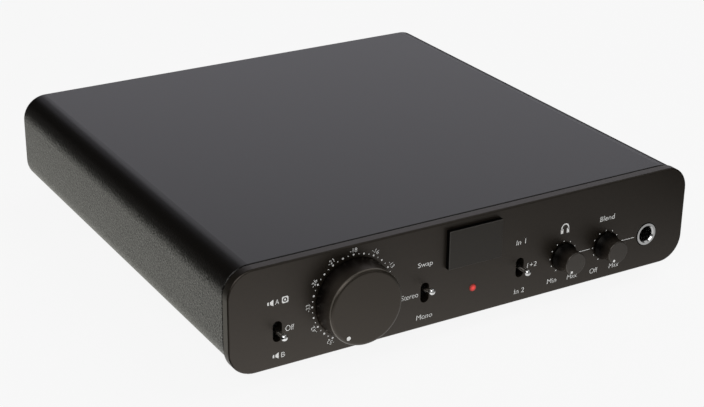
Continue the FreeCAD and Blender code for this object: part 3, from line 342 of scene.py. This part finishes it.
def powder_coat():
    """Black structured powder coat of the cover, smoother on its top than on the bends and sides, with
    lighter specks painted into its colour as glints, fewer on the top.
    """
    g = Graph("powder_coat_black")
    upright = g.remap(g.facing((0, 0, 1)), 1.0, COAT_TOP_GRAIN, *COAT_TURN)
    # painted glints: lighter specks in the base colour, fewer on the top
    glints = g.times(g.remap(g.noise(COAT_GLINT_SCALE, 0.0), 0.0, 1.0, *COAT_GLINT_SPAN),
                     g.remap(upright, 0.0, 1.0, COAT_TOP_GLINTS, 1.0))
    g.link(g.blend(glints, COAT_DARK, COAT_GLINT), g.shader.inputs["Base Color"])
    g.set(Roughness=COAT_ROUGH)
    grain = g.add(g.noise(COAT_SCALES[0], 1.0, 0.4), g.noise(COAT_SCALES[1], 1.0), COAT_FINE_SHARE)
    g.bump(grain, COAT_GRAIN, upright)
    return g.material


def plain(name, first, second, rough, scale=600.0, metallic=0.0, grain=0.003, grain_scale=3000.0):
    """A finish with slight colour and roughness variation and a fine grain."""
    g = Graph(name)
    g.colour(first, second, scale)
    g.roughness(rough[0], rough[1], scale * 2)
    g.set(Metallic=metallic)
    g.bump(g.noise(grain_scale, 2.0), grain)
    return g.material


def anodised(name, first, second, rough, ior, sheen_tint):
    """Black anodised metal: hardly any colour of its own, a brownish gloss and a fine grain."""
    g = Graph(name)
    g.colour(first, second, 600.0)
    g.roughness(rough[0], rough[1], 1200.0)
    g.set(IOR=ior, Specular_Tint=(*sheen_tint, 1.0))
    g.bump(g.noise(4200.0, 2.0), 0.003)
    return g.material


def turned_knob(name, face, foot_shade, flank, rim_highlight, rough, rim_rough, ior, sheen_tint, reach, metal=0.0):
    """Anodised turned knob: satin face, painted shade that darkens the flank towards the plate, and a painted
    highlight line on its rim.

    metal is the flank's metallic share beyond FOOT_SHARE of its length; at the plate it is 1, so that with
    the dark foot colour the painted shade there mirrors almost nothing.
    """
    g = Graph(name)
    front = g.facing((0, -1, 0))
    ahead = g.ahead()
    behind = g.remap(ahead, 1.0, 0.0, reach - KNOB_RIM, reach - KNOB_RIM / 2)
    # painted shade: the flank's colour darkens towards the plate
    painted_foot_shade = g.blend(g.remap(ahead, 0.0, 1.0, reach * FOOT_SHADE_SHARE, reach), foot_shade, flank)
    rounding = g.times(g.remap(front, 0.0, 1.0, *RIM_HIGHLIGHT_SETS_IN), g.remap(front, 1.0, 0.0, *RIM_HIGHLIGHT_FADES))
    # painted highlight: a lighter line in the base colour along the rim's rounding, with lower roughness
    rim_highlight_mask = g.times(rounding, g.remap(ahead, 0.0, 1.0, reach - RIM_HIGHLIGHT_DEPTHS[0], reach - RIM_HIGHLIGHT_DEPTHS[1]))
    g.link(g.blend(rim_highlight_mask, g.blend(behind, face, painted_foot_shade), rim_highlight), g.shader.inputs["Base Color"])
    g.link(g.remap(rim_highlight_mask, rough, rim_rough, 0.0, 1.0), g.shader.inputs["Roughness"])
    # painted shade as well: near the plate the flank is metal with a near-black colour and mirrors almost
    # nothing
    g.link(g.times(behind, g.remap(ahead, 1.0, metal, 0.0, reach * FOOT_SHARE)), g.shader.inputs["Metallic"])
    g.set(IOR=ior, Specular_Tint=(*sheen_tint, 1.0))
    g.bump(g.noise(3000.0, 2.0), 0.0012)
    return g.material


def badge_finish():
    """Blank badge: satin face, a bevel with a painted highlight, and black walls that mirror nearly nothing.
    """
    g = Graph("badge_black_satin")
    front = g.facing((0, -1, 0))
    # painted highlight: the bevel is lighter than the face
    face = g.blend(g.remap(front, 0.0, 1.0, *BEVEL_TO_FACE), BADGE_BEVEL_HIGHLIGHT, BADGE_FACE)
    shade = g.blend(g.remap(front, 0.0, 1.0, *WALL_TO_BEVEL), BADGE_WALL, face)
    g.link(shade, g.shader.inputs["Base Color"])
    g.link(g.remap(front, 1.0, 0.0, *WALL_TO_BEVEL), g.shader.inputs["Metallic"])
    g.roughness(0.39, 0.44, 1000.0)
    g.bump(g.noise(3000.0, 2.0), 0.002)
    return g.material


def lit_lens():
    """Lit diode, brightest over its chip."""
    g = Graph("led_red_lit")
    fac = g.remap(g.noise(900.0), 0.0, 1.0)
    g.link(g.blend(fac, *LENS_TONES), g.shader.inputs["Base Color"])
    low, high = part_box("power_led")
    over = g.off_axis((low + high) / 2)
    glow = g.blend(g.remap(over, 0.0, 1.0, 0.0, LENS_R), LED_CENTRE, LED_EDGE)
    g.link(glow, g.shader.inputs["Emission Color"])
    g.set(Roughness=0.3, Emission_Strength=1.0)
    return g.material


MATERIALS = {
    "panel_black": anodised("panel_black_satin", (0.006, 0.0045, 0.003), (0.009, 0.007, 0.0045), (0.38, 0.42),
                            ior=1.68, sheen_tint=(1.0, 0.89, 0.79)),
    "case_black": powder_coat(),
    "chassis_black": plain("chassis_powder", (0.010, 0.010, 0.010), (0.016, 0.016, 0.016), (0.42, 0.52),
                           grain=0.012, grain_scale=1800.0),
    "knob_black": turned_knob("knob_black_satin", face=(0.012, 0.010, 0.008), foot_shade=(0.001, 0.001, 0.001),
                              flank=(0.060, 0.049, 0.039), rim_highlight=(0.040, 0.036, 0.030), rough=0.40,
                              rim_rough=0.34, ior=1.95, sheen_tint=(1.0, 0.92, 0.84), reach=SMALL_REACH,
                              metal=0.72),
    "badge_black": badge_finish(),
    "dot_white": plain("print_white", (0.90, 0.90, 0.88), (0.96, 0.96, 0.94), (0.5, 0.6)),
    "chrome": plain("polished_chrome", (0.90, 0.90, 0.89), (0.96, 0.96, 0.95), (0.16, 0.21), metallic=1.0,
                    grain=0.0008),
    "steel": plain("zinc_steel", (0.42, 0.42, 0.41), (0.52, 0.52, 0.50), (0.28, 0.42), metallic=1.0),
    "black_steel": plain("black_oxide", (0.012, 0.012, 0.012), (0.022, 0.021, 0.020), (0.30, 0.42)),
    "jack_plastic": plain("jack_black", (0.008, 0.008, 0.008), (0.014, 0.014, 0.014), (0.38, 0.50)),
    "rocker_plastic": plain("rocker_black", (0.008, 0.008, 0.008), (0.012, 0.012, 0.012), (0.16, 0.24)),
    "led_red": lit_lens(),
    "board": plain("solder_mask", (0.012, 0.075, 0.028), (0.018, 0.10, 0.038), (0.28, 0.40)),
    "part_plastic": plain("component_black", (0.012, 0.012, 0.012), (0.020, 0.020, 0.020), (0.40, 0.55)),
    "can": plain("can_sleeve", (0.010, 0.014, 0.05), (0.014, 0.020, 0.07), (0.25, 0.35)),
    "sink": plain("extruded_aluminium", (0.42, 0.42, 0.43), (0.52, 0.52, 0.53), (0.35, 0.5), metallic=1.0),
    "gold": plain("gold_plate", (0.80, 0.56, 0.20), (0.88, 0.64, 0.26), (0.14, 0.22), metallic=1.0,
                  grain=0.001),
    "foot_rubber": plain("foot_rubber", (0.012, 0.012, 0.012), (0.020, 0.020, 0.020), (0.65, 0.8), grain=0.02,
                         grain_scale=1400.0),
}
VOLUME_FINISH = turned_knob("volume_knob_satin", face=(0.010, 0.008, 0.005), foot_shade=(0.003, 0.002, 0.002),
                            flank=(0.034, 0.028, 0.022), rim_highlight=(0.13, 0.118, 0.10), rough=0.38,
                            rim_rough=0.26, ior=1.70, sheen_tint=(1.0, 0.88, 0.77), reach=VOLUME_REACH)


def dress_nodes():
    """Give every CAD node the finish of its slot; the volume knob has a warmer one of its own."""
    for part in frame["record"]["subparts"]:
        target = nodes[part["node"]]
        finish = VOLUME_FINISH if part["node"] == "volume_knob" else MATERIALS[part["material_slot"]]
        for slot in target.material_slots:
            slot.material = finish


# ---- Printed marks ----
class Print:
    """Flat marks gathered into one mesh just in front of the plate; places in millimetres on it."""

    outward = -1

    def __init__(self):
        self.mesh = bmesh.new()
        self.front = FACE_Y - (PRINT_LIFT + PRINT_T) * MM

    def point(self, x, z):
        return x * MM, self.front, BASE_Z + z * MM

    def outline(self, points):
        """Closed flat mark from (x, z) points, counter-clockwise as read."""
        self.mesh.faces.new([self.mesh.verts.new(self.point(x, z)) for x, z in points])

    def disc(self, x, z, r, count=ROUND):
        self.outline(ring_points(x, z, r, count))

    def between(self, inner, outer):
        """Flat band between two closed rows of as many points."""
        for i in range(len(inner)):
            self.outline([inner[i - 1], outer[i - 1], outer[i], inner[i]])

    def bar(self, x0, z0, x1, z1, width):
        """Straight stroke between two points."""
        painted_foot_shade = Vector((x1 - x0, z1 - z0)).normalized() * (width / 2)
        side = Vector((-painted_foot_shade.y, painted_foot_shade.x))
        start = Vector((x0, z0))
        end = Vector((x1, z1))
        self.outline([tuple(p) for p in (start - side, end - side, end + side, start + side)])

    def arc(self, x, z, r, width, start, end, count=24):
        """Stroke along a circle, angles in degrees."""
        for i in range(count):
            a0, a1 = radians(start + (end - start) * i / count, start + (end - start) * (i + 1) / count)
            corners = ((r - width / 2, a0), (r + width / 2, a0), (r + width / 2, a1), (r - width / 2, a1))
            self.outline([(x + q * math.cos(a), z + q * math.sin(a)) for q, a in corners])

    def word(self, text, x, z, height, width=None, turn=0.0, slant=WORD_SLANT):
        """Plain word centred at (x, z) in a box of this height and width; turn in degrees."""
        curve = bpy.data.curves.new("word", "FONT")
        curve.body = text
        curve.size = 1.0
        curve.shear = slant
        curve.offset = WORD_BOLD
        curve.fill_mode = "FRONT"
        holder = bpy.data.objects.new("word", curve)
        scene.collection.objects.link(holder)
        bpy.context.view_layer.update()
        flat = bpy.data.meshes.new_from_object(holder.evaluated_get(bpy.context.evaluated_depsgraph_get()))
        bpy.data.objects.remove(holder)
        xs = [v.co.x for v in flat.vertices]
        ys = [v.co.y for v in flat.vertices]
        grow_z = height / (max(ys) - min(ys))
        grow_x = grow_z if width is None else width / (max(xs) - min(xs))
        centre = Vector(((max(xs) + min(xs)) / 2, (max(ys) + min(ys)) / 2))
        turned = Matrix.Rotation(math.radians(turn), 2)
        for v in flat.vertices:
            at = turned @ Vector(((v.co.x - centre.x) * grow_x, (v.co.y - centre.y) * grow_z))
            v.co = self.point(x + at.x, z + at.y)
        self.mesh.from_mesh(flat)
        bpy.data.meshes.remove(flat)

    def finish(self, name, body, slot):
        """Turn the marks to face outwards, give them their thickness and put them into the scene."""
        mesh = bpy.data.meshes.new(name)
        bmesh.ops.remove_doubles(self.mesh, verts=self.mesh.verts, dist=1e-7)
        self.mesh.normal_update()
        for f in self.mesh.faces:
            if f.normal.y * self.outward < 0:
                f.normal_flip()
        made = bmesh.ops.extrude_face_region(self.mesh, geom=self.mesh.faces[:])
        moved = [v for v in made["geom"] if isinstance(v, bmesh.types.BMVert)]
        bmesh.ops.translate(self.mesh, verts=moved, vec=(0, -self.outward * PRINT_T * MM, 0))
        bmesh.ops.recalc_face_normals(self.mesh, faces=self.mesh.faces[:])
        self.mesh.to_mesh(mesh)
        self.mesh.free()
        mesh.materials.append(MATERIALS[slot])
        piece = bpy.data.objects.new(name, mesh)
        scene.collection.objects.link(piece)
        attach(piece, body)


class BackPrint(Print):
    """Marks that lie on a node's surface as seen from behind; places count from the node's middle."""

    outward = 1

    def __init__(self, node):
        super().__init__()
        low, self.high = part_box(node)
        self.middle = (low + self.high) / 2
        self.skin = BVHTree.FromPolygons([v.co for v in nodes[node].data.vertices],
                                         [f.vertices for f in nodes[node].data.polygons])

    def point(self, x, z):
        start = Vector((self.middle.x + x * MM, self.high.y + MM, self.middle.z + z * MM))
        hit = self.skin.ray_cast(start, Vector((0, -1, 0)))[0]
        return hit.x, hit.y + (PRINT_LIFT + PRINT_T) * MM, hit.z


def ring_points(x, z, r, count):
    """Corners of a circle, counter-clockwise."""
    turn = 2 * math.pi / count
    return [(x + r * math.cos(i * turn), z + r * math.sin(i * turn)) for i in range(count)]


def on_plate(axis):
    """A knob's axis as a place on the plate, in millimetres."""
    return axis.x / MM, (axis.z - BASE_Z) / MM


def dial(marks, axis, ring_r, big_r, small_r, steps):
    """Ring of dots round a knob; the small dots lie between the big ones."""
    x, z = on_plate(axis)
    for i in range(2 * steps + 1):
        r = small_r if i % 2 else big_r
        angle = math.radians(DIAL_START - DIAL_SWEEP * i / steps / 2)
        if r:
            marks.disc(x + ring_r * math.cos(angle), z + ring_r * math.sin(angle), r)


def dial_numbers(marks):
    """Plain numbers round the volume knob, their heads outwards."""
    x, z = on_plate(VOLUME_AXIS)
    for i, text in enumerate(DIAL_NUMBERS):
        degrees = DIAL_START - DIAL_SWEEP * i / (len(DIAL_NUMBERS) - 1)
        angle = math.radians(degrees)
        marks.word(text, x + NUMBER_R * math.cos(angle), z + NUMBER_R * math.sin(angle), NUMBER_H,
                   turn=degrees - 90, slant=0.0)


def speaker_icon(marks, x, z):
    """Loudspeaker sign: a magnet block, a gap and a cone."""
    for corners in (SPEAKER_MAGNET, SPEAKER_CONE):
        marks.outline([(x + SPEAKER_H * across, z + SPEAKER_H * up) for across, up in corners])


def woofer_icon(marks, x, z):
    """Square box with a round driver and its dome."""
    half = WOOFER_H / 2
    box = []
    for across, up in ring_points(0, 0, 1, SMOOTH):
        reach = half * min(1 / max(abs(across), abs(up)), WOOFER_CORNER)
        box.append((x + reach * across, z + reach * up))
    marks.between(ring_points(x, z, half * WOOFER_RING, SMOOTH), box)
    marks.disc(x, z, half * WOOFER_DOME, SMOOTH)


def headphone_icon(marks, x, z):
    """Headband with two ear cups."""
    size = HEADPHONE_H
    marks.arc(x, z + size * BAND_LIFT, size * BAND_R, size * BAND_W, *BAND_ENDS)
    for cup in (x - size * CUP_X, x + size * CUP_X):
        marks.bar(cup, z + size * CUP_ENDS[0], cup, z + size * CUP_ENDS[1], size * CUP_W)


def front_marks():
    marks = Print()
    dial(marks, VOLUME_AXIS, DIAL_RING_R, DIAL_BIG_R, DIAL_SMALL_R, DIAL_STEPS)
    dial_numbers(marks)
    for axis in (PHONES_AXIS, CROSSFEED_AXIS):
        dial(marks, axis, LEVEL_RING_R, LEVEL_DOT_R, 0, LEVEL_STEPS)
    for text, x, z, height, width in WORDS:
        marks.word(text, x, z, height, width)
    for place in SPEAKER_PLACES:
        speaker_icon(marks, *place)
    woofer_icon(marks, *WOOFER_PLACE)
    headphone_icon(marks, *HEADPHONE_PLACE)
    for x0, x1 in LINES:
        marks.bar(x0, LINE_Z, x1, LINE_Z, LINE_W)
    marks.finish("front_marks", "root", "dot_white")


# ---- Detail behind ----
def rocker_marks():
    """A bar on the pressed half of the rocker and a ring on the raised one."""
    marks = BackPrint("power_rocker")
    marks.bar(ROCKER_MARK_X, -ROCKER_MARK_H / 2, ROCKER_MARK_X, ROCKER_MARK_H / 2, ROCKER_MARK_W)
    marks.between(ring_points(-ROCKER_MARK_X, 0, ROCKER_MARK_H / 2 - ROCKER_MARK_W, MARK_SIDES),
                  ring_points(-ROCKER_MARK_X, 0, ROCKER_MARK_H / 2, MARK_SIDES))
    marks.finish("rocker_marks", "power_toggle", "dot_white")


def bush_threads():
    """Fine thread on each jack's bush between its nut and its end."""
    mesh = bmesh.new()
    turn = 2 * math.pi / THREAD_SIDES
    nut_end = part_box("rear_jack_nuts")[1].y
    for mount in frame["record"]["mounts"]:
        if not mount["name"].endswith("_jack_bore"):
            continue
        centre = Vector(mount["pos_m"])
        body = nodes[mount["name"][:-len("_bore")]].data
        bush_r = max(math.hypot(v.co.x - centre.x, v.co.z - centre.z) for v in body.vertices
                     if v.co.y > centre.y - THREAD_PITCH * MM)
        count = int((centre.y - nut_end) / (THREAD_PITCH * MM)) - 1
        start = nut_end + THREAD_PITCH / 2 * MM
        profile = [(bush_r - THREAD_DEPTH * MM, start + count * THREAD_PITCH * MM),
                   (bush_r - THREAD_DEPTH * MM, start)]
        for i in range(2 * count + 1):
            height = THREAD_DEPTH if i % 2 else THREAD_ROOT
            profile.append((bush_r + height * MM, start + i / 2 * THREAD_PITCH * MM))
        rows = [[mesh.verts.new((centre.x + r * math.cos(k * turn), y, centre.z + r * math.sin(k * turn)))
                 for k in range(THREAD_SIDES)] for r, y in profile]
        for i in range(len(rows)):
            for k in range(THREAD_SIDES):
                mesh.faces.new((rows[i - 1][k - 1], rows[i - 1][k], rows[i][k], rows[i][k - 1]))
    bmesh.ops.recalc_face_normals(mesh, faces=mesh.faces[:])
    made = bpy.data.meshes.new("jack_bush_threads")
    mesh.to_mesh(made)
    mesh.free()
    made.materials.append(MATERIALS["jack_plastic"])
    piece = bpy.data.objects.new("jack_bush_threads", made)
    scene.collection.objects.link(piece)
    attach(piece, "root")


# ---- Stage, light and camera ----
def stage(name, mesh):
    piece = bpy.data.objects.new(name, mesh)
    scene.collection.objects.link(piece)
    return piece


def floor():
    """Pale floor; what the object mirrors of it comes from the table top below."""
    size = FLOOR_HALF * MM
    corners = [(-size, -size, 0), (size, -size, 0), (size, size, 0), (-size, size, 0)]
    mesh = bpy.data.meshes.new("floor")
    mesh.from_pydata(corners, [], [(0, 1, 2, 3)])
    g = Graph("pale_floor")
    g.colour(*FLOOR_TONES, 3.0)
    g.set(Roughness=1.0, Emission_Color=(*WHITE, 1.0), Emission_Strength=FLOOR_GLOW, Specular_IOR_Level=0.0)
    mesh.materials.append(g.material)
    stage("floor", mesh).visible_glossy = False


def table_glow(x, y):
    """Colour of the table top at (x, y) in millimetres.

    It falls off to the right in front of the object, is shaded at its left front corner and dark further out.
    """
    front = FACE_Y / MM
    half = panel_high.x / MM
    ahead = front - y
    slope = max(TABLE_FRONT - TABLE_FALL_X * (x + half) - TABLE_FALL_Y * ahead, TABLE_LEAST)
    beside = ramp(-ahead, 0, TABLE_MELT)
    bearing = math.degrees(math.atan2(-half - x, -ahead))
    lit = max(1 - ramp(bearing, SHADE_FROM, SHADE_FROM + SHADE_SOFT),
              ramp(bearing, SHADE_TO, SHADE_TO + SHADE_SOFT))
    lit *= 1 - ramp(abs(x) - half, SIDE_NEAR, SIDE_FAR)
    lit *= 1 - ramp(abs(y) + front, TABLE_NEAR, TABLE_FAR)
    return [lit * (slope + (TABLE_SIDE * tint - slope) * beside) for tint in TABLE_SIDE_TINT]


def table_top():
    """The lit table as the object's glossy faces mirror it; nothing else sees this sheet."""
    count = int(2 * TABLE_HALF / TABLE_STEP) + 1
    ticks = [i * TABLE_STEP - TABLE_HALF for i in range(count)]
    places = [(x, y) for y in ticks for x in ticks]
    quads = [(j * count + i, j * count + i + 1, (j + 1) * count + i + 1, (j + 1) * count + i)
             for j in range(count - 1) for i in range(count - 1)]
    mesh = bpy.data.meshes.new("table_top")
    mesh.from_pydata([(x * MM, y * MM, TABLE_LIFT * MM) for x, y in places], [], quads)
    glow = mesh.color_attributes.new("glow", "FLOAT_COLOR", "POINT")
    for i, (x, y) in enumerate(places):
        glow.data[i].color = (*table_glow(x, y), 1.0)
    g = Graph("table_glow")
    glow_map = g.node("ShaderNodeAttribute", attribute_name="glow")
    g.link(glow_map.outputs["Color"], g.shader.inputs["Emission Color"])
    g.set(Base_Color=(0, 0, 0, 1), Roughness=1.0, Emission_Strength=1.0, Specular_IOR_Level=0.0)
    mesh.materials.append(g.material)
    piece = stage("table_top", mesh)
    piece.visible_camera = False
    piece.visible_diffuse = False
    piece.visible_shadow = False
    piece.visible_transmission = False


def world():
    scene.world = bpy.data.worlds.new("room")
    scene.world.use_nodes = True
    back = scene.world.node_tree.nodes["Background"]
    back.inputs["Color"].default_value = (*WHITE, 1.0)
    back.inputs["Strength"].default_value = ROOM_GLOW


def softbox(name, azimuth, elevation, distance, size, radiance, tint, mirrored):
    """Area light aimed at the object; azimuth 0 is behind it, counted to the right."""
    az, el = radians(azimuth, elevation)
    data = bpy.data.lights.new(name, "AREA")
    data.shape = "RECTANGLE"
    data.size, data.size_y = size
    data.energy = radiance * math.pi * size[0] * size[1]
    data.color = tint
    light = bpy.data.objects.new(name, data)
    away = Vector((math.sin(az) * math.cos(el), math.cos(az) * math.cos(el), math.sin(el)))
    light.location = away * distance
    light.rotation_euler = (-away).to_track_quat("-Z", "Y").to_euler()
    light.visible_camera = False
    light.visible_glossy = mirrored
    scene.collection.objects.link(light)


def camera():
    az, el, roll = radians(CAMERA_AZIMUTH, CAMERA_ELEVATION, CAMERA_ROLL)
    back = Vector((math.sin(az) * math.cos(el), -math.cos(az) * math.cos(el), math.sin(el)))
    side = Vector((math.cos(az), math.sin(az), 0))
    up = back.cross(side)
    right = side * math.cos(roll) + up * math.sin(roll)
    top = up * math.cos(roll) - side * math.sin(roll)
    data = bpy.data.cameras.new("camera")
    data.sensor_width = SENSOR_WIDTH
    data.lens = CAMERA_LENS
    data.clip_start = 0.01
    data.clip_end = 50.0
    made = bpy.data.objects.new("camera", data)
    turn = Matrix((right, top, back)).transposed().to_4x4()
    aim = Vector((0, FACE_Y, BASE_Z)) + Vector(CAMERA_AIM) * MM
    made.matrix_world = Matrix.Translation(aim + back * CAMERA_DISTANCE * MM) @ turn
    scene.collection.objects.link(made)
    scene.camera = made


dress_nodes()
front_marks()
rocker_marks()
bush_threads()
floor()
table_top()
world()
for row in SOFTBOXES:
    softbox(*row)
camera()
